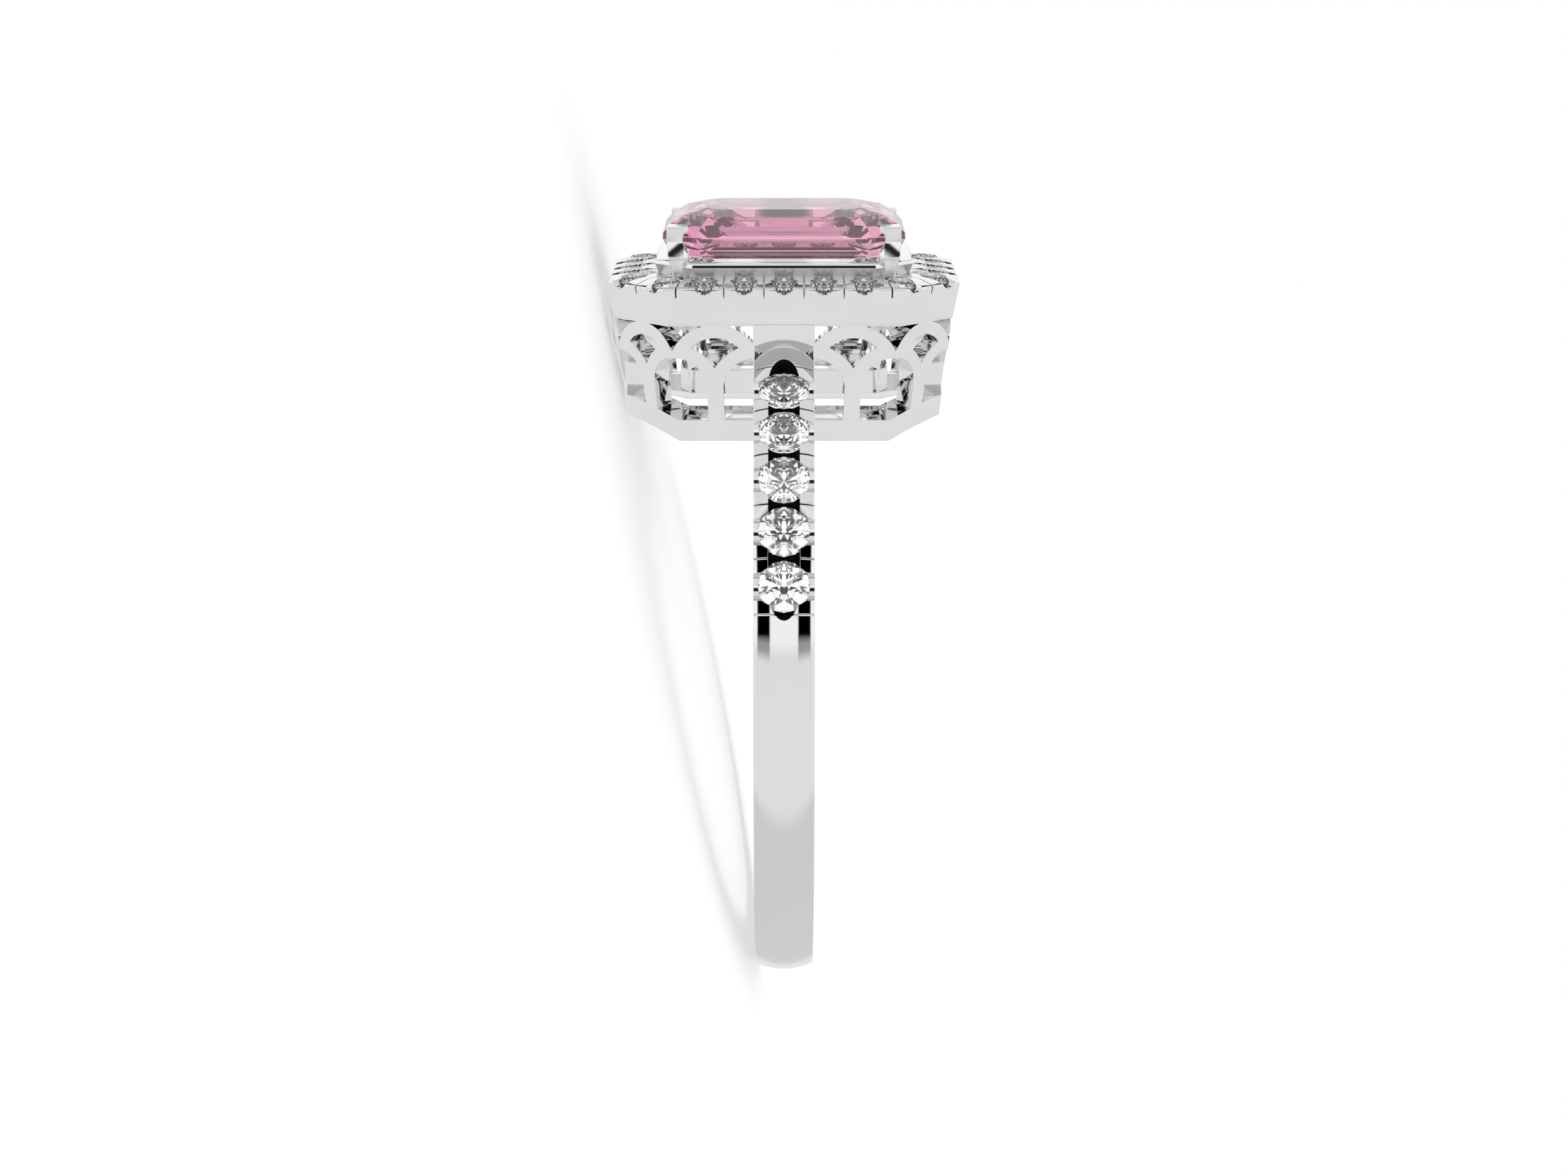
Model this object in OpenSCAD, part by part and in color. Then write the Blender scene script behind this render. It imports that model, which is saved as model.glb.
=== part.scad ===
// Halo engagement ring: a step-cut centre stone in four prongs, an octagonal halo of round brilliants on a
// pierced arcade gallery, and a shank with five brilliants in each shoulder.
// The ring is drawn upright about its finger axis, X, with the head at +Z, and then laid on its side.

/* [Finger and shank] */
// Inner diameter of the ring
finger_d = 17.3; // [17:0.1:17.6]
// Width of the shank along the finger
shank_w = 1.85; // [1.8:0.05:2]
// Thickness of the shank at the back of the finger
back_t = 1.65; // [1.6:0.05:1.75]
// Height of the dome across the shank
dome_h = 0.2; // [0.1:0.05:0.25]
// How far the shank's outer circle is shifted towards the head
rise = 0.7; // [0.65:0.05:0.8]

/* [Shoulder stones] */
// Stones in each shoulder
shoulder_stones = 5; // [3:1:5]
// Diameter of a shoulder stone
shoulder_d = 1.56; // [1.4:0.02:1.56]
// Distance from one shoulder stone to the next
shoulder_pitch = 1.68; // [1.66:0.01:1.72]
// Angle from the head to the first shoulder stone
first_angle = 33.9; // [33.5:0.1:35]
// Width of the channel between the two rails
channel_w = 0.96; // [0.8:0.02:1.1]

/* [Halo] */
// Half length of the halo along the finger, at its rim
halo_l = 5.56; // [5.5:0.01:5.62]
// Half width of the halo across the finger, at its rim
halo_b = 4.31; // [4.26:0.01:4.36]
// Distance from the middle to the halo's corner faces
halo_c = 5.71; // [5.66:0.01:5.74]
// Height of the halo's rim above the middle of the finger
halo_z = 12.64; // [12.58:0.02:12.7]
// Depth of the halo's outer skirt
skirt_h = 1.1; // [1:0.05:1.15]
// Diameter of a halo stone
halo_d = 1.04; // [0.96:0.02:1.06]
// Distance from one halo stone to the next along a side
halo_pitch = 1.25; // [1.23:0.01:1.26]

/* [Gallery] */
// Thickness of the pierced wall
wall_t = 0.66; // [0.56:0.02:0.7]
// How far the wall leans in from the skirt to the finger
wall_lean = 0.4; // [0.3:0.05:0.45]
// Height of the bottom rail, which follows the finger
rail_h = 0.65; // [0.55:0.05:0.75]
// Width of a leg of the arcade
leg_w = 0.52; // [0.4:0.04:0.6]

/* [Centre stone] */
// Length of the centre stone along the finger
centre_l = 7.7; // [7.6:0.05:7.75]
// Width of the centre stone across the finger
centre_b = 5.8; // [5.7:0.05:5.85]
// Size of the centre stone's cut corners
centre_cut = 1.1; // [1:0.05:1.2]
// Height of the centre stone's girdle above the middle of the finger
centre_z = 14.05; // [14:0.01:14.1]
// How far the collar under the centre stone stands out past its girdle
collar_out = 0.25; // [0.22:0.01:0.28]

/* [Hidden] */
// Clearance between a stone and the metal around it
gap = 0.02;

finger_r = finger_d / 2;
outer_r = finger_r + back_t + rise;
dome_r = (pow(shank_w / 2, 2) + pow(dome_h, 2)) / (2 * dome_h);
skirt_z = halo_z - skirt_h;

// Turns the frame so that its X is the ring's Z and its Y points to the viewer, with the outer circle's
// middle at the origin: a turn about its Z carries a place from the head down the near shoulder.
module about_finger() {
    translate([0, 0, rise]) rotate([180, 0, 0]) rotate([0, 90, 0]) children();
}

// Octagonal column. Each level holds its height, half length, half width and corner distance.
module octagon(levels) {
    intersection() {
        column(levels, 1, 0);
        column(levels, 2, 90);
        column(levels, 3, 45);
        column(levels, 3, -45);
    }
}

// Slab between two opposite sides of the octagonal column.
module column(levels, side, heading) {
    right = [for (l = levels) [l[side], l[0]]];
    left = [for (i = [len(levels) - 1:-1:0]) [-levels[i][side], levels[i][0]]];
    rotate([0, 0, heading]) rotate([90, 0, 0])
        linear_extrude(height = 40, center = true) polygon(concat(right, left));
}

// Level of the halo at height z, drawn in from the rim by inset.
function halo_level(z, inset) = [z, halo_l - inset, halo_b - inset, halo_c - inset];

// Level of the skirt at height z. The corner faces lean in more than the sides.
skirt_lean = 0.2;
function skirt_level(z, inset) = [z, halo_l - inset, halo_b - inset, halo_c - 1.23 * inset];

// Level of the gallery's wall at height z, and at depth t in its metal.
wall_foot = 7.8;
function wall_level(z, t) = let (drop = (skirt_z - z) / (skirt_z - wall_foot)) [
    z,
    halo_l - skirt_lean - 0.01 - 1.15 * wall_lean * drop - t,
    halo_b - skirt_lean - 0.01 - wall_lean * drop - t,
    halo_c - 1.23 * (skirt_lean + 0.01) - 1.25 * wall_lean * drop - t
];

// Where the front and back sides of a level end along X, and its two end sides along Y
function bend_x(l) = l[3] * sqrt(2) - l[2];
function bend_y(l) = l[3] * sqrt(2) - l[1];

// The ring rests on two feet, the bottom corners of one end of the gallery, and on the edge of its shank.
foot_z = 8.38;
foot_x = wall_level(foot_z, 0)[1];
far_z = outer_r - rise;
rest_tilt = atan((foot_x - shank_w / 2) / (foot_z + far_z));
reach_head = (centre_z + 0.83) * cos(rest_tilt) + (centre_l / 2 - 1.38) * sin(rest_tilt);
reach_back = (far_z + dome_h - dome_r) * cos(rest_tilt) + dome_r;
rest_x = (reach_head - reach_back) / 2;
rest_z = shank_w / 2 * cos(rest_tilt) + far_z * sin(rest_tilt);

// Lays the upright ring on its side, with its box centred on the origin and its feet at height zero.
module lying() {
    translate([rest_x, 0, rest_z]) rotate([0, rest_tilt - 90, 0]) children();
}

// Round brilliant: shares of the diameter
table_share = 0.57;
crown_share = 0.15;
girdle_share = 0.03;
pavilion_share = 0.43;

// Points at radius r and height z, the first of them turned by a
function ring_of(r, z, count, a) = [
    for (i = [0:count - 1]) let (t = a + i * 360 / count) [r * cos(t), r * sin(t), z]
];

// Round brilliant whose girdle's top is at z = 0, with table, stars, kites, girdle facets and pavilion mains.
module brilliant(d) {
    r = d / 2;
    star_r = 0.787;
    star_z = d * crown_share * (1 - star_r * cos(22.5)) / (1 - table_share);
    lower_r = 0.25;
    belt_z = -d * girdle_share;
    points = concat(
        ring_of(r * table_share, d * crown_share, 8, 0),
        ring_of(r * star_r, star_z, 8, 22.5),
        ring_of(r, 0, 16, 0),
        ring_of(r, belt_z, 16, 0),
        ring_of(r * lower_r, belt_z - d * pavilion_share * (1 - lower_r * cos(22.5)), 8, 22.5),
        [[0, 0, belt_z - d * pavilion_share]]
    );
    star = 8;
    top = 16;
    belt = 32;
    lower = 48;
    culet = 56;
    polyhedron(points = points, faces = concat(
        [[7, 6, 5, 4, 3, 2, 1, 0]],
        [for (i = [0:7]) [i, (i + 1) % 8, star + i]],
        [for (i = [0:7]) [i, star + i, top + 2 * i, star + (i + 7) % 8]],
        [for (i = [0:7]) [star + i, top + 2 * i + 1, top + 2 * i]],
        [for (i = [0:7]) [star + i, top + (2 * i + 2) % 16, top + 2 * i + 1]],
        [for (i = [0:15]) [top + i, top + (i + 1) % 16, belt + (i + 1) % 16, belt + i]],
        [for (i = [0:7]) [belt + 2 * i, belt + 2 * i + 1, lower + i]],
        [for (i = [0:7]) [belt + 2 * i + 1, belt + (2 * i + 2) % 16, lower + i]],
        [for (i = [0:7]) [belt + 2 * i, lower + i, culet, lower + (i + 7) % 8]]
    ));
}

// Room for a brilliant of diameter d and its clearance, with a drilled hole under the culet.
module seat(d, hole) {
    r = d / 2 + gap;
    crown_z = d * crown_share + gap;
    rotate_extrude($fn = 48) polygon([
        [0, -d * (girdle_share + pavilion_share) - 2 * gap],
        [r, -d * girdle_share - gap],
        [r, gap],
        [d * table_share / 2 + gap, crown_z],
        [d * table_share / 2 + gap, crown_z + 1],
        [0, crown_z + 1]
    ]);
    translate([0, 0, -hole]) cylinder(r = d * 0.15, h = hole - d * 0.25, $fn = 24);
}

// Steps of the centre stone from its table to its keel: inset from the outline, and height over the girdle.
centre_steps = [
    [1.38, 0.83], [0.72, 0.67], [0.28, 0.41], [0, 0.1], [0, -0.07],
    [0.13, -0.31], [0.32, -0.53], [0.9, -1.15], [1.6, -1.82], [2.5, -2.42]
];

// Outline of the centre stone drawn in by inset: eight points, counter-clockwise seen from above
function centre_outline(inset) = let (
    a = centre_l / 2 - inset,
    b = centre_b / 2 - inset,
    cut = max(0.12, centre_cut - inset / 2)
) [
    [a, b - cut], [a - cut, b], [cut - a, b], [-a, b - cut],
    [-a, cut - b], [cut - a, -b], [a - cut, -b], [a, cut - b]
];

// Step-cut octagon, grown by extra on every side.
module step_cut(extra) {
    last = len(centre_steps) - 1;
    points = [
        for (s = centre_steps) for (p = centre_outline(s[0] - extra))
            [p[0], p[1], s[1] + sign(s[1]) * extra]
    ];
    polyhedron(points = points, faces = concat(
        [[7, 6, 5, 4, 3, 2, 1, 0]],
        [for (k = [0:last - 1]) for (i = [0:7])
            [8 * k + i, 8 * k + (i + 1) % 8, 8 * k + 8 + (i + 1) % 8, 8 * k + 8 + i]],
        [[for (i = [0:7]) 8 * last + i]]
    ));
}

// Frame of a place on the near shoulder: angle from the head, and distance from the outer circle's middle.
module at_shoulder(angle, radius) {
    translate([0, 0, rise]) rotate([angle, 0, 0]) translate([0, 0, radius]) children();
}

angle_step = 2 * asin(shoulder_pitch / 2 / outer_r);
channel_depth = 0.62;
shoulder_seat_r = outer_r + 0.05;
head_end = first_angle - 1.5;
far_end = first_angle + (shoulder_stones - 1) * angle_step;

// Half ellipse that closes one end of the channel.
module channel_end() {
    half_w = channel_w / 2 - 0.004;
    linear_extrude(height = 2) polygon([
        [half_w, -0.3],
        for (a = [0:10:180]) [half_w * cos(a), 1.03 * sin(a)],
        [-half_w, -0.3]
    ]);
}

// Channel down the near shoulder.
module channel() {
    floor_r = outer_r - channel_depth;
    about_finger() rotate([0, 0, head_end]) rotate_extrude(angle = far_end - head_end, $fn = 240)
        translate([floor_r, -channel_w / 2]) square([2, channel_w]);
    at_shoulder(head_end, floor_r + 0.02) channel_end();
    at_shoulder(far_end, floor_r + 0.02) rotate([0, 0, 180]) channel_end();
}

// Thin cut across the shank that parts two prongs.
module shoulder_split() {
    translate([-1.5, -0.025, -0.25]) cube([3, 0.05, 1]);
}

// Cross section of the shank at its distance from the outer circle's middle.
module shank_section() {
    low_r = finger_r - rise - 0.05;
    intersection() {
        translate([low_r, -shank_w / 2]) square([5, shank_w]);
        translate([outer_r + dome_h - dome_r, 0]) circle(dome_r, $fn = 120);
    }
}

// Shank, open under the head, whose two ends rise as flat blocks in front of the gallery.
arm_w = shank_w + 0.08;
arm_y = halo_b - skirt_lean + 0.02;
arm_t = 0.6;
module shank() {
    open_y = arm_y - arm_t - 0.1;
    places = [for (i = [0:shoulder_stones - 1]) first_angle + i * angle_step];
    first_split = first_angle - 0.58 * angle_step;
    difference() {
        difference() {
            about_finger() rotate_extrude($fn = 240) shank_section();
            translate([-3, -open_y, 0]) cube([6, 2 * open_y, 20]);
            for (side = [0, 180]) rotate([0, 0, side]) channel();
        }
        for (side = [0, 180]) rotate([0, 0, side]) for (a = places) at_shoulder(a, shoulder_seat_r)
            seat(shoulder_d, 1);
        for (side = [0, 180]) rotate([0, 0, side]) for (a = places) at_shoulder(a, outer_r + 0.14)
            rotate([0, 90, 0]) cylinder(r = shoulder_pitch / 4, h = 3, center = true, $fn = 48);
        for (side = [0, 180]) rotate([0, 0, side]) {
            at_shoulder(first_split, outer_r) shoulder_split();
            for (a = places) at_shoulder(a + angle_step / 2, outer_r) shoulder_split();
        }
    }
    for (side = [0, 180]) rotate([0, 0, side]) translate([-arm_w / 2, -arm_y, finger_r - 1.6])
        cube([arm_w, arm_t, skirt_z + 0.05 - finger_r + 1.6]);
}

// Halo: a frame with a leaning skirt, a rounded rim and a top that slopes up to its inner edge.
rim_inset = 0.15;
rim_rise = 0.13;
crest_inset = 1.2;
crest_rise = 0.29;
deck_t = 0.64;
halo_slope = atan((crest_rise - rim_rise) / (crest_inset - rim_inset));
halo_levels = [
    skirt_level(skirt_z, skirt_lean + 0.06),
    skirt_level(skirt_z + 0.06, skirt_lean),
    for (a = [0:30:90]) halo_level(halo_z + rim_rise * sin(a), rim_inset * (1 - cos(a))),
    halo_level(halo_z + 0.235, 0.55),
    halo_level(halo_z + crest_rise, crest_inset)
];
halo_hollow = [
    skirt_level(skirt_z - 1, skirt_lean + wall_t - 0.06),
    skirt_level(halo_z - deck_t, skirt_lean + wall_t - 0.06)
];

// Level of the collar under the centre stone at height z, drawn in by inset.
centre_corner = (centre_l / 2 + centre_b / 2 - centre_cut) * sqrt(0.5);
function collar_level(z, inset) = [
    z,
    centre_l / 2 + collar_out - inset,
    centre_b / 2 + collar_out - inset,
    centre_corner + 1.1 * collar_out - inset
];

// Row of stone middles around the halo
row_inset = 0.69;
row = halo_level(halo_z + rim_rise + (row_inset - rim_inset) * tan(halo_slope), row_inset);
row_x = bend_x(row);
row_y = bend_y(row);
corner_x = (row_x + row[1]) / 2;
corner_y = (row_y + row[2]) / 2;
corner_step = 0.76 * sqrt(0.5);
bend_gap = 0.24;
bend_turn = 11;

// Stations of stones and of splits: place along and across, and heading of the outer side. A list covers the
// near side and one end with its two corners, and the same list turned half round is the rest of the halo.
half_stones = [
    for (i = [-2:2]) [i * halo_pitch, -row[2], 0],
    [-corner_x + corner_step, -corner_y - corner_step, -45],
    [-corner_x - corner_step, -corner_y + corner_step, -45],
    for (i = [-1:1]) [-row[1], i * halo_pitch, -90],
    [-corner_x - corner_step, corner_y - corner_step, -135],
    [-corner_x + corner_step, corner_y + corner_step, -135]
];
half_splits = [
    for (i = [-1.5:1:1.5]) [i * halo_pitch, -row[2], 0],
    [-row_x + bend_gap, -row[2], -bend_turn],
    [-corner_x, -corner_y, -45],
    [-row[1], -row_y + bend_gap, bend_turn - 90],
    for (i = [-0.5, 0.5]) [-row[1], i * halo_pitch, -90],
    [-row[1], row_y - bend_gap, -90 - bend_turn],
    [-corner_x, corner_y, -135],
    [-row_x + bend_gap, row[2], bend_turn - 180]
];
function both_halves(half) = concat(half, [for (s = half) [-s[0], -s[1], s[2] + 180]]);
halo_stations = both_halves(half_stones);
halo_splits = both_halves(half_splits);

// Frame of a halo station, whose Z leaves the halo's top and whose -Y points outward.
module at_halo(station) {
    translate([station[0], station[1], row[0]]) rotate([0, 0, station[2]]) rotate([halo_slope, 0, 0])
        children();
}

girdle_sink = 0.08;
module halo_frame() {
    difference() {
        octagon(halo_levels);
        octagon([collar_level(8, 0.3), collar_level(14, 0.3)]);
        octagon(halo_hollow);
        for (s = halo_stations) at_halo(s) {
            translate([0, 0, -girdle_sink]) seat(halo_d, 0.62);
            translate([0, -0.05, 0.115]) rotate([90, 0, 0])
                cylinder(r = halo_pitch * 0.252, h = 1.9, center = true, $fn = 48);
        }
        for (s = halo_splits) at_halo(s) translate([-0.025, -1, -0.3]) cube([0.05, 1.9, 1]);
    }
}

// Arcade of the gallery: equal arches between the legs, and over each leg one more arch that springs from the
// crowns on either side of it.
low_crown = 10.51;
high_crown = 11.155;
valley_z = 10.815;

// Open parts of one bay of the arcade, whose leg is in its middle. lean shifts the leg's foot, and over is how
// far the bay goes on past its left and right ends. The upper arches meet at the height valley.
module bay(w, lean, over, valley) {
    r = (w - leg_w) / 2;
    low = low_crown - r;
    high = high_crown - r;
    arch_t = sqrt(pow(w / 2, 2) + pow(valley - high, 2)) - r;
    start = -w / 2 - over[0];
    length = w + over[0] + over[1];
    intersection() {
        translate([start, 6]) square([length, 8]);
        for (end = [-1, 1]) {
            translate([end * w / 2, low]) circle(r, $fn = 72);
            polygon([[end * w, low], [end * leg_w / 2, low], [end * leg_w / 2 - lean, 7], [end * w, 7]]);
        }
    }
    difference() {
        translate([0, high]) circle(r, $fn = 72);
        for (end = [-1, 1]) translate([end * w / 2, low]) circle(r + arch_t, $fn = 72);
    }
    difference() {
        translate([start, low_crown]) square([length, skirt_z - 0.005 - low_crown]);
        translate([0, high]) circle(r + arch_t, $fn = 72);
    }
}

// One side of the arcade: heading, distance from the middle, half length, its bays' middles and width, the
// height at which its upper arches meet, and how far the side's own middle is shifted along it.
module side_bays(heading, distance, half, middles, w, valley, shift = 0) {
    mitre = tan(22.5) * 1.2;
    rotate([0, 0, heading]) translate([shift, 0, 0]) intersection() {
        translate([0, -distance, 0]) rotate([90, 0, 0]) linear_extrude(height = 2, center = true)
            for (m = middles) translate([m, 0])
                bay(w, m * 0.07, [for (end = [-1, 1]) end * m + w / 2 > half - 0.1 ? 0.15 : 0], valley);
        linear_extrude(height = 14) polygon([
            [-half - mitre, -distance - 1.2],
            [half + mitre, -distance - 1.2],
            [half - mitre, 1.2 - distance],
            [mitre - half, 1.2 - distance]
        ]);
    }
}

// The part of a cut that lies above the bottom rail
module above_rail() {
    difference() {
        children();
        rotate([0, 90, 0]) cylinder(r = finger_r + rail_h, h = 20, center = true, $fn = 240);
    }
}

module gallery() {
    middle = wall_level(9.8, 0);
    half_x = bend_x(middle);
    half_y = bend_y(middle);
    half_c = (middle[1] - half_x) * sqrt(0.5);
    shift_c = (middle[1] + half_x - middle[2] - half_y) / 2 * sqrt(0.5);
    arm = arm_w / 2 - 0.09;
    mid_x = (half_x + arm) / 2;
    mid_y = half_y / 2;
    difference() {
        difference() {
            octagon([wall_level(6, 0), wall_level(skirt_z, 0), wall_level(skirt_z, 0) + [0.2, 0, 0, 0]]);
            octagon([wall_level(5, wall_t + 0.19), wall_level(13, wall_t + 0.19)]);
            above_rail() {
                octagon([wall_level(5, wall_t), wall_level(13, wall_t)]);
                for (side = [0, 180]) {
                    side_bays(side, middle[2], half_x, [-mid_x, mid_x], half_x - arm, valley_z);
                    side_bays(side + 90, middle[1], half_y, [-mid_y, mid_y], half_y, valley_z + 0.045);
                }
            }
        }
        above_rail() for (side = [0, 180]) translate([0, 0, -0.008]) {
            side_bays(side + 45, middle[3], half_c + 0.02, [0], 2 * half_c, valley_z + 0.03, shift_c);
            side_bays(side - 45, middle[3], half_c + 0.02, [0], 2 * half_c, valley_z + 0.03, -shift_c);
        }
    }
}

// Basket that carries the centre stone: a collar on the halo under the girdle, which leans out as it rises to
// a rounded edge, a collet near the finger and four prongs.
module collar() {
    top_z = centre_z - 0.66;
    round_r = 0.18;
    low_z = top_z - round_r;
    difference() {
        octagon([
            collar_level(low_z - 0.91, 0.16),
            collar_level(low_z - 0.41, 0.16),
            for (a = [0:30:90]) collar_level(low_z + round_r * sin(a), round_r * (1 - cos(a))),
            collar_level(top_z + 0.07, 0.72)
        ]);
        octagon([collar_level(12, 0.75), collar_level(14, 0.75)]);
    }
}

// Collet: an octagonal band with a bevel round its top.
module collet() {
    out = [0, 3.3, 2.5, 3.77];
    wall = [0, 0.5, 0.5, 0.5];
    bevel = [0, 0.06, 0.06, 0.06];
    difference() {
        octagon([out + [9.12, 0, 0, 0], out + [9.87, 0, 0, 0], out - bevel + [9.93, 0, 0, 0]]);
        octagon([out - wall + [8, 0, 0, 0], out - wall + [11, 0, 0, 0]]);
    }
}

// Prong at the corner along +X and +Y: its outlines seen across the finger, along it, and along both of the
// diagonals, which bevel its corners.
module prong() {
    intersection() {
        rotate([90, 0, 0]) linear_extrude(height = 12, center = true) polygon([
            [3.03, 14.47], [3.03, 14.34], [3.19, 14.2], [3.19, 13.95], [3.02, 13.7], [3.02, 12.9], [2.5, 9.5],
            [3, 9.5], [3.52, 12.94], [3.66, 13.6], [3.7, 14], [3.7, 14.42], [3.65, 14.47]
        ]);
        rotate([90, 0, 90]) linear_extrude(height = 12, center = true) polygon([
            [1.96, 14.47], [1.96, 12.94], [1.8, 9.5], [2.3, 9.5], [2.6, 11.9], [2.88, 12.9], [2.92, 13.2],
            [2.9, 13.5], [2.74, 14], [2.71, 14.42], [2.66, 14.47]
        ]);
        rotate([90, 0, -45]) linear_extrude(height = 12, center = true) polygon([
            [0.31, 15], [0.29, 14], [0.19, 13.5], [0.2, 12.9], [0.2, 9], [0.95, 9], [0.95, 12.9], [1.12, 14],
            [1.14, 15]
        ]);
        rotate([90, 0, 45]) linear_extrude(height = 12, center = true) polygon([
            [2, 15], [2, 9], [4, 9], [4.48, 12.94], [4.55, 13.2], [4.62, 13.6], [4.8, 15]
        ]);
    }
}

module basket() {
    difference() {
        union() {
            collar();
            collet();
            for (mx = [0, 1]) for (my = [0, 1]) mirror([mx, 0, 0]) mirror([0, my, 0]) prong();
        }
        translate([0, 0, centre_z]) step_cut(gap);
    }
}

// Mounting: all the metal of the ring, in one piece.
module mounting() {
    color([0.86, 0.87, 0.88]) lying() difference() {
        union() {
            halo_frame();
            gallery();
            basket();
            shank();
        }
        rotate([0, 90, 0]) cylinder(r = finger_r, h = 20, center = true, $fn = 240);
    }
}

// Centre stone: a step-cut octagon with its length along the finger.
module centre_stone() {
    color([0.86, 0.55, 0.66]) lying() translate([0, 0, centre_z]) step_cut(0);
}

// Halo stone i: a round brilliant in the halo's frame.
module halo_stone(i) {
    color([0.93, 0.94, 0.95]) lying() at_halo(halo_stations[i]) translate([0, 0, -girdle_sink])
        brilliant(halo_d);
}

// Shoulder stone i: a round brilliant in the shank, counted down the near side and then the far side.
module shoulder_stone(i) {
    turn = i < shoulder_stones ? 0 : 180;
    angle = first_angle + (i % shoulder_stones) * angle_step;
    color([0.93, 0.94, 0.95]) lying() rotate([0, 0, turn]) at_shoulder(angle, shoulder_seat_r)
        brilliant(shoulder_d);
}

halo_names = [for (i = [1:len(halo_stations)]) str("halo_stone_", i < 10 ? "0" : "", i)];
shoulder_names = [for (i = [1:2 * shoulder_stones]) str("shoulder_stone_", i < 10 ? "0" : "", i)];

mounting();
centre_stone();
for (i = [0:len(halo_names) - 1]) halo_stone(i);
for (i = [0:len(shoulder_names) - 1]) shoulder_stone(i);
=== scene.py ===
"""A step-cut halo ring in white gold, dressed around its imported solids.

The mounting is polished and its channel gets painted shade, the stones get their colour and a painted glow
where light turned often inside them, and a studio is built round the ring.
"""

import math

import bmesh
import bpy
from bpy.props import FloatProperty, FloatVectorProperty, PointerProperty
from mathutils import Matrix, Vector


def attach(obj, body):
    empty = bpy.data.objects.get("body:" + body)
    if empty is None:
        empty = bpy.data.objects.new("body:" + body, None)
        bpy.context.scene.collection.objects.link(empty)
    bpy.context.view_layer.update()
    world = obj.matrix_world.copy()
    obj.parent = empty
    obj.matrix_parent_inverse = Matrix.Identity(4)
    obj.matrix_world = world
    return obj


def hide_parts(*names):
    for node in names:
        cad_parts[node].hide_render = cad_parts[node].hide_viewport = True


bl_info = {
    "name": "Step-cut Halo Ring",
    "version": (1, 0, 0),
    "blender": (4, 5, 0),
    "location": "3D View > Sidebar > Ring",
    "description": "Polishes the mounting, sets the stones and lights the ring as a studio does",
    "category": "Object",
}

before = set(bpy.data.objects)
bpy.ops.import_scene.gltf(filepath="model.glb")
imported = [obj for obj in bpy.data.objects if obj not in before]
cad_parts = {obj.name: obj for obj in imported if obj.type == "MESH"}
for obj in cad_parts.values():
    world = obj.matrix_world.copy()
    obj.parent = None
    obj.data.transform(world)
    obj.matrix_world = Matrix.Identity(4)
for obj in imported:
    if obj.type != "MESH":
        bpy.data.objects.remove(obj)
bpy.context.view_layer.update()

MM = 0.001

# Corners closer than WELD are one. Facets that turn by less than FLAT are one face. A corner within SNAP of a
# surface lies on it.
WELD = 2e-7
FLAT = math.radians(0.4)
SNAP = 0.004 * MM

# The longest edge that a facet keeps on the dome and in the finger hole, and how often longer ones are halved
DOME_FACET = 0.25 * MM
BORE_FACET = 0.4 * MM
HALVINGS = 4

# The mounting's finishes and its painted shade, in the order of its material slots
POLISHED, PAINTED_SHADE, SATIN = 0, 1, 2

# The ring lies tilted by this much. After it come the finger's axis, the way to the head, the way from the
# camera to the ring, and the middle of the finger hole, all in the row frame.
REST_TILT = math.radians(12.1933)
FINGER_AXIS = Vector((math.sin(REST_TILT), 0.0, math.cos(REST_TILT)))
TO_HEAD = Vector((-math.cos(REST_TILT), 0.0, math.sin(REST_TILT)))
AWAY = Vector((0.0, 1.0, 0.0))
HOLE_CENTRE = Vector((0.002376182, 0.0, 0.003079546))

# The shank: radius of the finger hole, radius of the outer circle and how far its middle lies towards the
# head, half the shank's width, and the dome's height and radius
BORE_R = 8.65 * MM
OUTER_R = 11.0 * MM
OUTER_RISE = 0.7 * MM
SHANK_HALF = 0.925 * MM
DOME_H = 0.2 * MM
DOME_R = (SHANK_HALF ** 2 + DOME_H ** 2) / (2 * DOME_H)

# The channel under the shoulder stones: half its width, how far down its painted shade begins, and the angles
# from the head between which it runs
CHANNEL_HALF = 0.485 * MM
CHANNEL_LIP = 0.1 * MM
CHANNEL_ANGLES = (26.8, 74.6)

# The basket of collar and prongs: half its size along and across the finger, where it leaves the halo, and
# how far the normals of its upright faces point to the head, at least and at most
BASKET_HALF = (4.2 * MM, 3.25 * MM)
BASKET_FOOT = 12.9 * MM
BASKET_LEAN = (-0.6, 0.1)

# How many directions the shader looks in for each worn edge
EDGE_SAMPLES = 6

# How much paler the pale zones of the centre stone and of the brilliants are
CENTRE_CLOUD = 0.04
BRILLIANT_CLOUD = 0.1

# How often Cycles lets light turn back inside a stone before it stops following it
MOST_TURNS = 4

# The studio's cards: turns about the finger, leans along it, both as low, high and softness in degrees,
# and brightness. Leans count the same to both sides, and from -10 they take in the middle. A later card
# covers an earlier one.
STUDIO_CARDS = (
    ((-180.0, 8.0, 3.0), (-10.0, 91.0, 4.0), 0.82),
    ((-75.0, 8.0, 3.0), (46.0, 91.0, 4.0), 0.9),
    ((-140.0, -52.0, 5.0), (-10.0, 44.0, 5.0), 0.68),
    ((58.0, 118.0, 5.0), (-10.0, 44.0, 4.0), 0.78),
    ((5.0, 13.0, 3.0), (22.0, 42.0, 1.5), 0.35),
    ((11.0, 56.0, 2.0), (22.0, 42.0, 1.5), 0.0),
    ((25.0, 56.0, 2.0), (-10.0, 24.0, 1.5), 0.02),
    ((120.0, 134.0, 4.0), (-10.0, 50.0, 4.0), 0.02),
)

# The pale floor's grey, its roughness and its own brightness, and the width of the camera's sensor in mm
FLOOR_GREY = 0.95
FLOOR_ROUGHNESS = 0.9
FLOOR_GLOW = 0.3
SENSOR_WIDTH = 36.0

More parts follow.
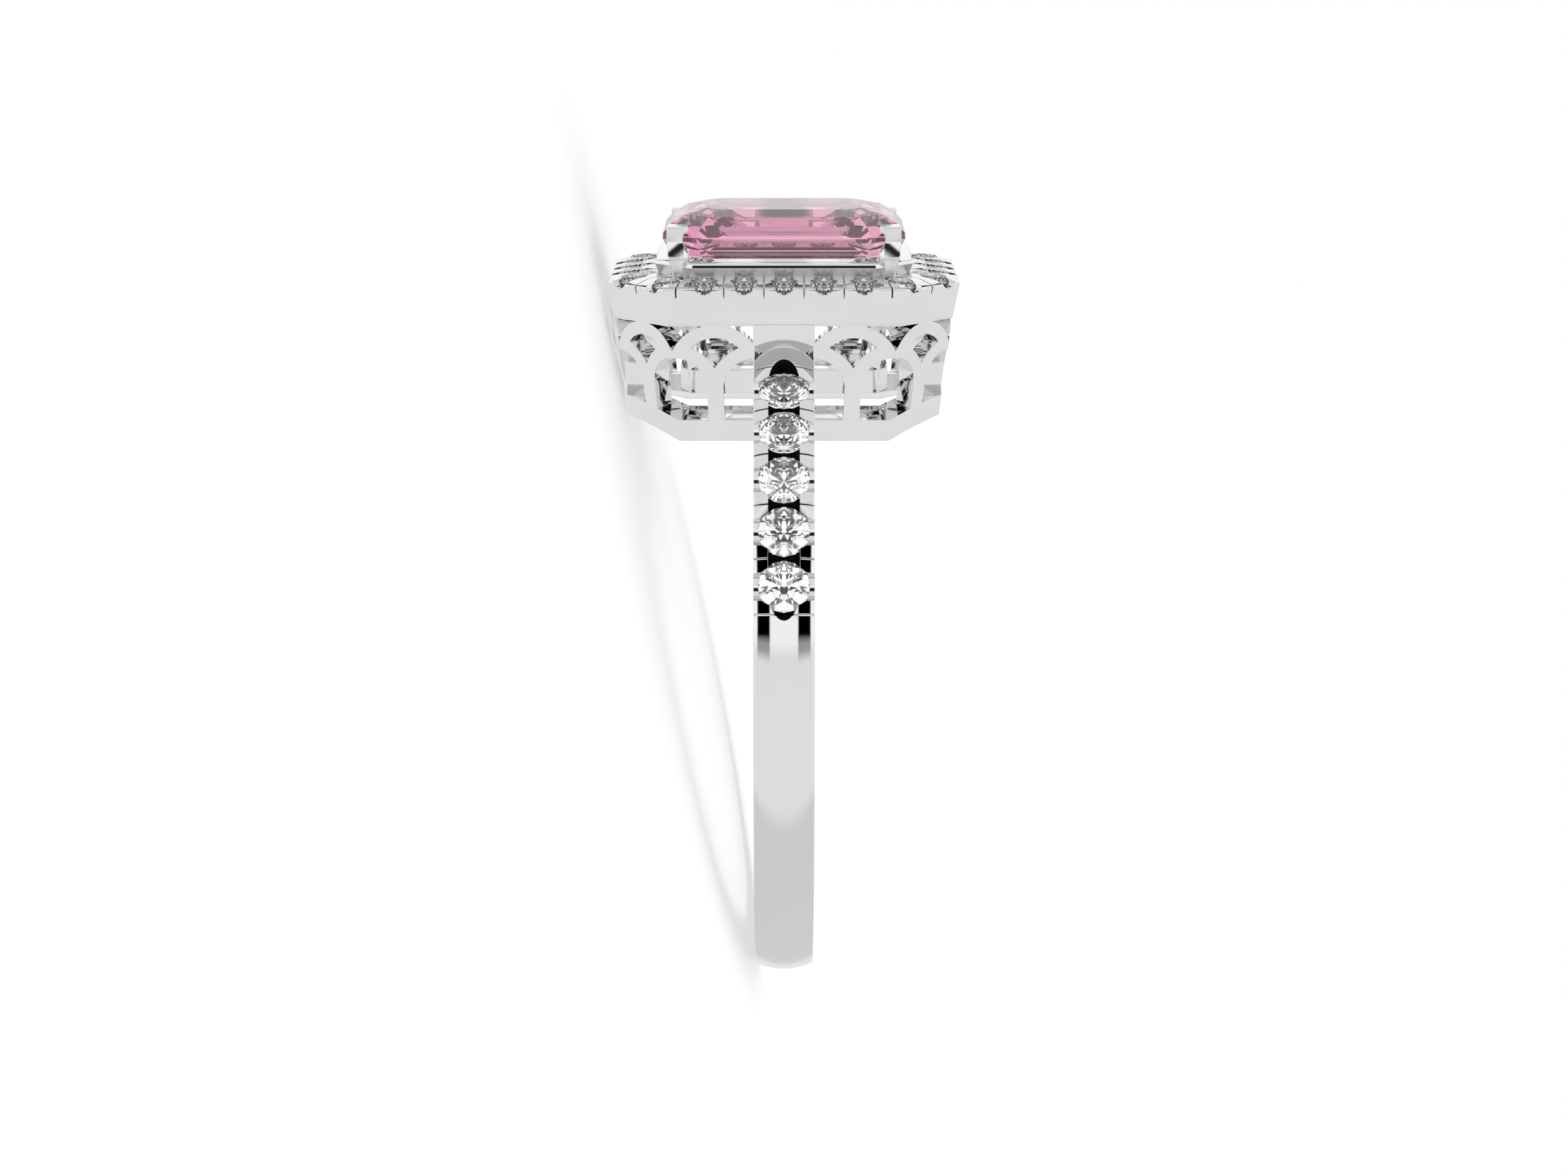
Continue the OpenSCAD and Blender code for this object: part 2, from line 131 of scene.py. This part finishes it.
# A Mix node's sockets for colours, which have the same names as its sockets for numbers
COLOUR_A, COLOUR_B, COLOUR_OUT = 6, 7, 2


def ring_place(point):
    """Where a point of the row frame lies: along the finger, away from the camera, and towards the head."""
    arm = point - HOLE_CENTRE
    return Vector((arm.dot(FINGER_AXIS), arm.dot(AWAY), arm.dot(TO_HEAD)))


def row_point(place):
    """The point of the row frame for a place in the ring's own directions."""
    return HOLE_CENTRE + FINGER_AXIS * place.x + AWAY * place.y + TO_HEAD * place.z


def dome_point(place):
    """The place moved in or out to the domed outside of the shank, or None where the shank isn't as wide."""
    if abs(place.x) > SHANK_HALF + SNAP:
        return None
    away, up = place.y, place.z - OUTER_RISE
    radius = OUTER_R + DOME_H - DOME_R + math.sqrt(DOME_R ** 2 - place.x ** 2)
    scale = radius / math.hypot(away, up)
    return Vector((place.x, away * scale, up * scale + OUTER_RISE))


def bore_point(place):
    """The place moved in or out to the wall of the finger hole."""
    scale = BORE_R / math.hypot(place.y, place.z)
    return Vector((place.x, place.y * scale, place.z * scale))


def dome_normal(place):
    """The way out of the shank's dome, in the row frame."""
    away, up = place.y, place.z - OUTER_RISE
    reach = math.hypot(away, up)
    out = (AWAY * away + TO_HEAD * up) / reach
    return (FINGER_AXIS * place.x + out * (reach - OUTER_R - DOME_H + DOME_R)).normalized()


def bore_normal(place):
    """The way into the finger hole from its wall, in the row frame."""
    return -(AWAY * place.y + TO_HEAD * place.z).normalized()


class RingMetalSettings(bpy.types.PropertyGroup):
    """Sizes and finish of the polished mounting."""

    colour: FloatVectorProperty(
        name="Metal colour", description="Colour of the rhodium-bright white gold",
        default=(0.88, 0.88, 0.885), min=0.0, max=1.0, size=3, subtype="COLOR",
    )
    roughness: FloatProperty(
        name="Polish", description="Roughness of the polished faces",
        default=0.03, min=0.0, max=0.5,
    )
    satin: FloatProperty(
        name="Satin", description="Roughness of the upright faces of the collar and prongs",
        default=0.35, min=0.0, max=1.0,
    )
    edge_round: FloatProperty(
        name="Edge rounding", description="Width that polishing takes off each edge",
        default=0.00003, min=0.0, max=0.0001, precision=6, unit="LENGTH",
    )
    crease: FloatProperty(
        name="Crease angle", description="Edges turning by more than this stay sharp",
        default=math.radians(31), min=0.0, max=math.pi, subtype="ANGLE",
    )


class RingStoneSettings(bpy.types.PropertyGroup):
    """Colours and refraction of the cut stones."""

    centre_colour: FloatVectorProperty(
        name="Centre colour", description="Colour that light takes on in the centre stone",
        default=(0.58, 0.2, 0.34), min=0.0, max=1.0, size=3, subtype="COLOR",
    )
    centre_index: FloatProperty(
        name="Centre index", description="Refractive index of the centre stone",
        default=2.0, min=1.0, max=3.0,
    )
    # A painted glow: the centre stone's emission where light turned often inside it.
    centre_painted_glow: FloatProperty(
        name="Centre fire", description="Brightness of light that turned often in the centre stone",
        default=0.1, min=0.0,
    )
    brilliant_colour: FloatVectorProperty(
        name="Brilliant colour", description="Colour of the small clear stones",
        default=(0.8, 0.8, 0.81), min=0.0, max=1.0, size=3, subtype="COLOR",
    )
    brilliant_index: FloatProperty(
        name="Brilliant index", description="Refractive index of the small stones",
        default=2.2, min=1.0, max=3.0,
    )
    # A painted glow: the small stones' emission where light turned often inside them.
    brilliant_painted_glow: FloatProperty(
        name="Brilliant fire", description="Brightness of light that turned often in the small stones",
        default=0.03, min=0.0,
    )


class RingStageSettings(bpy.types.PropertyGroup):
    """Camera and studio."""

    eye: FloatVectorProperty(
        name="Camera place", description="Place of the camera in the row frame",
        default=(-0.024398, -0.10399, 0.008865), size=3, precision=6, subtype="XYZ_LENGTH", unit="LENGTH",
    )
    pitch: FloatProperty(
        name="Camera pitch", description="How far the camera looks down at the ring",
        default=math.radians(13.655), subtype="ANGLE",
    )
    focal: FloatProperty(
        name="Focal length", description="Lens for a sensor 36 mm wide",
        default=74.09, min=1.0, unit="CAMERA",
    )
    white: FloatProperty(
        name="Studio white", description="Brightness of the white surroundings",
        default=1.0, min=0.0,
    )
    inner_light: FloatProperty(
        name="Inner light", description="Brightness of the surroundings that metal mirrored in metal shows",
        default=0.75, min=0.0,
    )
    inner_share: FloatProperty(
        name="Inner share", description="How far the inner light covers the cards there",
        default=0.65, min=0.0, max=1.0,
    )
    stone_light: FloatProperty(
        name="Stone light", description="How much brighter the surroundings are through a stone",
        default=1.6, min=0.0,
    )
    stone_fill: FloatProperty(
        name="Stone fill", description="Brightness added to all surroundings that are seen through a stone",
        default=0.12, min=0.0, max=1.0,
    )
    floor_size: FloatProperty(
        name="Floor size", description="Side of the pale floor",
        default=6.0, min=0.1, unit="LENGTH",
    )


def node_material(name, base, roughness, metallic=0.0):
    """A material with one Principled shader; returns it with its tree and shader."""
    material = bpy.data.materials.new(name)
    material.use_nodes = True
    tree = material.node_tree
    shader = tree.nodes["Principled BSDF"]
    shader.inputs["Base Color"].default_value = (*base, 1.0)
    shader.inputs["Roughness"].default_value = roughness
    shader.inputs["Metallic"].default_value = metallic
    return material, tree, shader


def noise(tree, scale, detail, stretch=(1.0, 1.0, 1.0)):
    """Noise on Object coordinates, scale in features per metre."""
    place = tree.nodes.new("ShaderNodeTexCoord")
    mapping = tree.nodes.new("ShaderNodeMapping")
    texture = tree.nodes.new("ShaderNodeTexNoise")
    mapping.inputs["Scale"].default_value = [scale * s for s in stretch]
    texture.inputs["Scale"].default_value = 1.0
    texture.inputs["Detail"].default_value = detail
    tree.links.new(place.outputs["Object"], mapping.inputs["Vector"])
    tree.links.new(mapping.outputs["Vector"], texture.inputs["Vector"])
    return texture


def ramp(tree, source, stops):
    """A colour ramp on source, with (position, grey or colour) stops."""
    node = tree.nodes.new("ShaderNodeValToRGB")
    elements = node.color_ramp.elements
    while len(elements) > 1:
        elements.remove(elements[-1])
    for i, (position, value) in enumerate(stops):
        stop = elements[0] if i == 0 else elements.new(position)
        stop.position = position
        stop.color = (*value, 1.0) if isinstance(value, tuple) else (value, value, value, 1.0)
    tree.links.new(source, node.inputs["Fac"])
    return node.outputs["Color"]


def feed(tree, socket, value):
    """Set a socket to a number, or link another socket to it."""
    if isinstance(value, (int, float)):
        socket.default_value = value
    else:
        tree.links.new(value, socket)


def maths(tree, operation, *values):
    """One maths node on sockets or numbers."""
    node = tree.nodes.new("ShaderNodeMath")
    node.operation = operation
    for socket, value in zip(node.inputs, values):
        feed(tree, socket, value)
    return node.outputs["Value"]


def polished_gold(settings):
    """Mirror-bright white gold with the faint swirls and haze that a polishing wheel leaves."""
    material, tree, shader = node_material(
        "polished_white_gold", settings.colour, settings.roughness, metallic=1.0,
    )
    swirl = noise(tree, scale=2500.0, detail=5.0, stretch=(1.0, 1.0, 6.0))
    low, high = settings.roughness * 0.7, settings.roughness * 1.6
    haze = ramp(tree, swirl.outputs["Fac"], [(0.35, low), (0.7, high)])
    tree.links.new(haze, shader.inputs["Roughness"])
    cloud = noise(tree, scale=500.0, detail=2.0)
    dark = tuple(0.97 * c for c in settings.colour)
    tint = ramp(tree, cloud.outputs["Fac"], [(0.3, dark), (0.7, tuple(settings.colour))])
    tree.links.new(tint, shader.inputs["Base Color"])
    worn = tree.nodes.new("ShaderNodeBevel")
    worn.samples = EDGE_SAMPLES
    worn.inputs["Radius"].default_value = settings.edge_round
    tree.links.new(worn.outputs["Normal"], shader.inputs["Normal"])
    return material


def satin_gold(settings):
    """The same gold on the upright faces of collar and prongs, which the wheel hardly reaches: soft shine."""
    material, tree, shader = node_material("satin_white_gold", settings.colour, settings.satin, metallic=1.0)
    brushed = noise(tree, scale=3000.0, detail=4.0)
    low, high = settings.satin * 0.85, settings.satin * 1.2
    haze = ramp(tree, brushed.outputs["Fac"], [(0.35, low), (0.7, high)])
    tree.links.new(haze, shader.inputs["Roughness"])
    return material


def painted_shade_recess():
    """Painted shade for the channel under the stones: near-black, dull and not metallic, with a grainy spread
    of dark greys that stands in for the shade falling there.
    """
    # The near-black base colour is painted shade, not the metal's own colour.
    material, tree, shader = node_material("painted_shade_recess", (0.012, 0.012, 0.012), 0.7)
    shader.inputs["Specular IOR Level"].default_value = 0.1
    shade_noise = noise(tree, scale=9000.0, detail=3.0)
    tint = ramp(tree, shade_noise.outputs["Fac"], [(0.3, 0.006), (0.7, 0.02)])
    tree.links.new(tint, shader.inputs["Base Color"])
    return material


def cut_stone(name, colour, index, cloudiness, painted_glow):
    """A clear faceted stone; its body colour drifts a little, as grown crystal does. Light takes on the whole
    colour where it first enters, and metal mirrors the stone clear. Where light has turned inside it too
    often to be followed further, the stone glows white at the brightness painted_glow: a painted glow
    standing in for that light. The turns are whole numbers, so the tests on them stand at halves."""
    material, tree, shader = node_material(name, colour, 0.0)
    shader.inputs["Transmission Weight"].default_value = 1.0
    shader.inputs["IOR"].default_value = index
    zoning = noise(tree, scale=400.0, detail=2.0)
    deep = tuple(c * c for c in colour)
    pale = tuple(c + cloudiness * (1.0 - c) for c in deep)
    tint = ramp(tree, zoning.outputs["Fac"], [(0.35, deep), (0.65, pale)])
    path = tree.nodes.new("ShaderNodeLightPath").outputs
    inside = maths(tree, "GREATER_THAN", path["Transmission Depth"], 0.5)
    clear = tree.nodes.new("ShaderNodeMix")
    clear.data_type = "RGBA"
    tree.links.new(maths(tree, "MAXIMUM", inside, path["Is Glossy Ray"]), clear.inputs["Factor"])
    tree.links.new(tint, clear.inputs[COLOUR_A])
    clear.inputs[COLOUR_B].default_value = (1.0, 1.0, 1.0, 1.0)
    tree.links.new(clear.outputs[COLOUR_OUT], shader.inputs["Base Color"])
    # Painted glow: the stone emits white light where a ray has turned inside it more than MOST_TURNS - 1
    # times.
    painted_glow_mask = maths(tree, "GREATER_THAN", path["Glossy Depth"], MOST_TURNS - 0.5)
    shader.inputs["Emission Color"].default_value = (1.0, 1.0, 1.0, 1.0)
    tree.links.new(maths(tree, "MULTIPLY", painted_glow_mask, painted_glow), shader.inputs["Emission Strength"])
    return material


def part_along(tree, direction, axis):
    """How much of a direction goes along an axis."""
    node = tree.nodes.new("ShaderNodeVectorMath")
    node.operation = "DOT_PRODUCT"
    node.inputs[1].default_value = axis
    tree.links.new(direction, node.inputs[0])
    return node.outputs["Value"]


def studio_angles(tree):
    """Where a direction points, in degrees: turned about the finger, with 0 at the camera's side and
    90 at the head's, and leaning along the finger."""
    direction = tree.nodes.new("ShaderNodeTexCoord").outputs["Generated"]
    up = part_along(tree, direction, TO_HEAD)
    front = part_along(tree, direction, -AWAY)
    across = part_along(tree, direction, FINGER_AXIS)
    turn = maths(tree, "DEGREES", maths(tree, "ARCTAN2", up, front))
    lean = maths(tree, "DEGREES", maths(tree, "ARCSINE", across))
    return turn, lean


def step(tree, value, low, high):
    """0 below low and 1 above high, smooth between."""
    node = tree.nodes.new("ShaderNodeMapRange")
    node.interpolation_type = "SMOOTHSTEP"
    node.inputs["From Min"].default_value = low
    node.inputs["From Max"].default_value = high
    tree.links.new(value, node.inputs["Value"])
    return node.outputs["Result"]


def between(tree, value, low, high, soft):
    """1 between low and high, falling to 0 over soft on each side."""
    above = step(tree, value, low - soft, low + soft)
    below = step(tree, value, high - soft, high + soft)
    return maths(tree, "SUBTRACT", above, below)


def card_mask(tree, turn, lean, turns, leans):
    """1 over the directions that a card of the studio fills, 0 elsewhere."""
    across = maths(tree, "ABSOLUTE", lean)
    return maths(tree, "MULTIPLY", between(tree, turn, *turns), between(tree, across, *leans))


def blend_to(tree, light, value, mask):
    """light where mask is 0, value where it is 1."""
    node = tree.nodes.new("ShaderNodeMix")
    tree.links.new(mask, node.inputs["Factor"])
    feed(tree, node.inputs["A"], light)
    feed(tree, node.inputs["B"], value)
    return node.outputs["Result"]


def dress(obj, *materials):
    """Give an object these materials. Clearing forgets which face has which, so a bare mesh isn't cleared."""
    if obj.data.materials:
        obj.data.materials.clear()
    for material in materials:
        obj.data.materials.append(material)


class RING_OT_polish_mounting(bpy.types.Operator):
    """Merge the mounting's faces, turn its round ones true, polish it and paint shade into its channel"""

    bl_idname = "ring.polish_mounting"
    bl_label = "Polish the mounting"

    def execute(self, context):
        settings = context.scene.ring_metal
        body = bmesh.new()
        body.from_mesh(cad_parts["mounting"].data)
        bmesh.ops.remove_doubles(body, verts=body.verts, dist=WELD)
        bmesh.ops.dissolve_limit(body, angle_limit=FLAT, verts=body.verts, edges=body.edges)
        self.turn_true(body, dome_point, DOME_FACET)
        self.turn_true(body, bore_point, BORE_FACET)
        for edge in body.edges:
            edge.smooth = len(edge.link_faces) == 2 and edge.calc_face_angle(0.0) < settings.crease
        for face in body.faces:
            face.smooth = True
            face.material_index = self.finish_of(face)
        mesh = bpy.data.meshes.new("mounting_polished")
        normals = self.corner_normals(body)
        body.to_mesh(mesh)
        mesh.normals_split_custom_set(normals)
        body.free()
        piece = bpy.data.objects.new("mounting_polished", mesh)
        context.scene.collection.objects.link(piece)
        # The second slot is painted shade for the channel faces.
        dress(piece, polished_gold(settings), painted_shade_recess(), satin_gold(settings))
        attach(piece, "root")
        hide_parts("mounting")
        return {"FINISHED"}

    def turn_true(self, body, true_point, longest):
        """Divide the long facets of a turned face, and move their new corners out to the true surface. The
        edges are taken in the mesh's own order, so that every run gives the same mesh."""
        for _ in range(HALVINGS):
            on_face = {vert: self.lies_on(vert, true_point) for vert in body.verts}
            facets = [face for face in body.faces if all(on_face[vert] for vert in face.verts)]
            round_edges = {edge for face in facets for edge in face.edges}
            long_edges = [edge for edge in body.edges if edge in round_edges and edge.calc_length() > longest]
            if not long_edges:
                return
            halved = bmesh.ops.bisect_edges(body, edges=long_edges, cuts=1)
            for part in halved["geom_split"]:
                if isinstance(part, bmesh.types.BMVert):
                    part.co = row_point(true_point(ring_place(part.co)))
            bmesh.ops.triangulate(body, faces=[face for face in facets if len(face.verts) > 3])

    def corner_normals(self, body):
        """The normal of every face's corners, which is the true one on the turned faces. Elsewhere a face
        counts by the square of its area."""
        body.faces.index_update()
        weights = [(face.calc_area() / MM ** 2) ** 2 for face in body.faces]
        normals = []
        for face in body.faces:
            true_normal = None
            for true_point, normal in ((dome_point, dome_normal), (bore_point, bore_normal)):
                if all(self.lies_on(vert, true_point) for vert in face.verts):
                    true_normal = normal
            for corner in face.loops:
                if true_normal:
                    normals.append(true_normal(ring_place(corner.vert.co)))
                else:
                    normals.append(self.fan_normal(corner, weights))
        return normals

    def lies_on(self, vert, true_point):
        """Whether a corner lies on the surface that true_point gives."""
        place = ring_place(vert.co)
        true = true_point(place)
        return true is not None and (true - place).length < SNAP

    def fan_normal(self, corner, weights):
        """The mean normal of the faces that go on smoothly round a corner, ruled by the largest, so that flat
        faces stay flat."""
        fan = [corner.face]
        ahead = corner
        while ahead.edge.smooth:
            ahead = ahead.link_loop_radial_next.link_loop_next
            if ahead.face in fan:
                break
            fan.append(ahead.face)
        back = corner
        while back.link_loop_prev.edge.smooth:
            back = back.link_loop_prev.link_loop_radial_next
            if back.face in fan:
                break
            fan.append(back.face)
        return sum((face.normal * weights[face.index] for face in fan), Vector()).normalized()

    def finish_of(self, face):
        """The material slot that a face has: its finish, or painted shade in the channel."""
        if self.in_painted_shade_channel(face):
            return PAINTED_SHADE
        return SATIN if self.on_basket(face) else POLISHED

    def on_basket(self, face):
        """Whether a face is an upright one of the collar and prongs that hold the centre stone."""
        place = ring_place(face.calc_center_bounds())
        half_along, half_across = BASKET_HALF
        least, most = BASKET_LEAN
        return (
            place.z > BASKET_FOOT
            and abs(place.x) < half_along
            and abs(place.y) < half_across
            and least < face.normal.dot(TO_HEAD) < most
        )

    def in_painted_shade_channel(self, face):
        """Whether a face lies in the part of a channel under the shoulder stones that gets painted shade."""
        place = ring_place(face.calc_center_median())
        away, up = abs(place.y), place.z - OUTER_RISE
        low, high = CHANNEL_ANGLES
        return (
            abs(place.x) < CHANNEL_HALF
            and low < math.degrees(math.atan2(away, up)) < high
            and BORE_R - OUTER_RISE < math.hypot(away, up) < OUTER_R + DOME_H - CHANNEL_LIP
            and place.yz.length > BORE_R + CHANNEL_LIP
        )


class RING_OT_set_centre_stone(bpy.types.Operator):
    """Give the step-cut centre stone its colour and a painted glow for light that turned often inside it"""

    bl_idname = "ring.set_centre_stone"
    bl_label = "Set the centre stone"

    def execute(self, context):
        settings = context.scene.ring_stones
        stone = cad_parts["centre_stone"]
        pink = cut_stone(
            "pink_step_cut", settings.centre_colour, settings.centre_index,
            cloudiness=CENTRE_CLOUD, painted_glow=settings.centre_painted_glow,
        )
        dress(stone, pink)
        return {"FINISHED"}


class RING_OT_set_brilliants(bpy.types.Operator):
    """Give the halo and shoulder stones their clear colour and a painted glow for light that turned often
    inside them
    """

    bl_idname = "ring.set_brilliants"
    bl_label = "Set the brilliants"

    def execute(self, context):
        settings = context.scene.ring_stones
        clear = cut_stone(
            "clear_brilliant", settings.brilliant_colour, settings.brilliant_index,
            cloudiness=BRILLIANT_CLOUD, painted_glow=settings.brilliant_painted_glow,
        )
        for name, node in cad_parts.items():
            if name.startswith(("halo_stone", "shoulder_stone")):
                dress(node, clear)
        return {"FINISHED"}


class RING_OT_build_studio(bpy.types.Operator):
    """Lay the pale floor, light the studio and place the camera"""

    bl_idname = "ring.build_studio"
    bl_label = "Build the studio"

    def execute(self, context):
        settings = context.scene.ring_stage
        self.lay_floor(context, settings)
        self.light_studio(context, settings)
        self.place_camera(context, settings)
        return {"FINISHED"}

    def lay_floor(self, context, settings):
        """A pale sheet under the ring, which neither metal nor stones show."""
        sheet = bmesh.new()
        bmesh.ops.create_grid(sheet, x_segments=1, y_segments=1, size=settings.floor_size / 2)
        mesh = bpy.data.meshes.new("floor")
        sheet.to_mesh(mesh)
        sheet.free()
        floor = bpy.data.objects.new("floor", mesh)
        context.scene.collection.objects.link(floor)
        material, _, shader = node_material("pale_floor", (FLOOR_GREY,) * 3, FLOOR_ROUGHNESS)
        shader.inputs["Emission Color"].default_value = (1.0, 1.0, 1.0, 1.0)
        shader.inputs["Emission Strength"].default_value = FLOOR_GLOW
        dress(floor, material)
        floor.visible_glossy = False
        floor.visible_transmission = False

    def light_studio(self, context, settings):
        """White surroundings with darker cards, as the metal mirrors them. Metal that is mirrored in metal
        shows an even light over them, the stones see all of it brighter, and the lens sees plain white."""
        world = bpy.data.worlds.new("studio")
        context.scene.world = world
        world.use_nodes = True
        tree = world.node_tree
        turn, lean = studio_angles(tree)
        light = settings.white
        for turns, leans, value in STUDIO_CARDS:
            mask = card_mask(tree, turn, lean, turns, leans)
            light = blend_to(tree, light, value * settings.white, mask)
        path = tree.nodes.new("ShaderNodeLightPath").outputs
        in_metal = maths(
            tree, "MULTIPLY",
            maths(tree, "GREATER_THAN", path["Glossy Depth"], 1.5),
            maths(tree, "LESS_THAN", path["Transmission Depth"], 0.5),
        )
        in_metal = maths(tree, "MULTIPLY", in_metal, settings.inner_share)
        light = blend_to(tree, light, settings.inner_light, in_metal)
        in_stone = maths(tree, "MULTIPLY", light, settings.stone_light)
        in_stone = maths(tree, "ADD", in_stone, settings.stone_fill)
        light = blend_to(tree, light, in_stone, path["Is Transmission Ray"])
        light = blend_to(tree, light, 1.0, path["Is Camera Ray"])
        back = tree.nodes["Background"]
        back.inputs["Strength"].default_value = 1.0
        tree.links.new(light, back.inputs["Color"])
        context.scene.view_settings.view_transform = "Standard"

    def place_camera(self, context, settings):
        """The camera, upright to the ring and looking down at it."""
        camera = bpy.data.cameras.new("camera")
        camera.lens = settings.focal
        camera.sensor_width = SENSOR_WIDTH
        camera.clip_start = 0.001
        camera.clip_end = 100.0
        holder = bpy.data.objects.new("camera", camera)
        context.scene.collection.objects.link(holder)
        forward = AWAY * math.cos(settings.pitch) - TO_HEAD * math.sin(settings.pitch)
        up = AWAY * math.sin(settings.pitch) + TO_HEAD * math.cos(settings.pitch)
        right = forward.cross(up)
        turn = Matrix((right, up, -forward)).transposed().to_4x4()
        holder.matrix_world = Matrix.Translation(Vector(settings.eye)) @ turn
        context.scene.camera = holder


class RING_PT_workshop(bpy.types.Panel):
    """The ring's steps, in the order of the work"""

    bl_idname = "RING_PT_workshop"
    bl_label = "Ring"
    bl_space_type = "VIEW_3D"
    bl_region_type = "UI"
    bl_category = "Ring"

    def draw(self, context):
        layout = self.layout
        for settings in (context.scene.ring_metal, context.scene.ring_stones, context.scene.ring_stage):
            for name in settings.__annotations__:
                layout.prop(settings, name)
        for operator in STEPS:
            layout.operator(operator.bl_idname)


STEPS = (
    RING_OT_polish_mounting,
    RING_OT_set_centre_stone,
    RING_OT_set_brilliants,
    RING_OT_build_studio,
)
GROUPS = (
    ("ring_metal", RingMetalSettings),
    ("ring_stones", RingStoneSettings),
    ("ring_stage", RingStageSettings),
)


def register():
    for name, group in GROUPS:
        bpy.utils.register_class(group)
        setattr(bpy.types.Scene, name, PointerProperty(type=group))
    for cls in STEPS + (RING_PT_workshop,):
        bpy.utils.register_class(cls)


def unregister():
    for cls in reversed(STEPS + (RING_PT_workshop,)):
        bpy.utils.unregister_class(cls)
    for name, group in reversed(GROUPS):
        delattr(bpy.types.Scene, name)
        bpy.utils.unregister_class(group)


def main():
    register()
    bpy.ops.ring.polish_mounting()
    bpy.ops.ring.set_centre_stone()
    bpy.ops.ring.set_brilliants()
    bpy.ops.ring.build_studio()


if __name__ == "__main__":
    main()
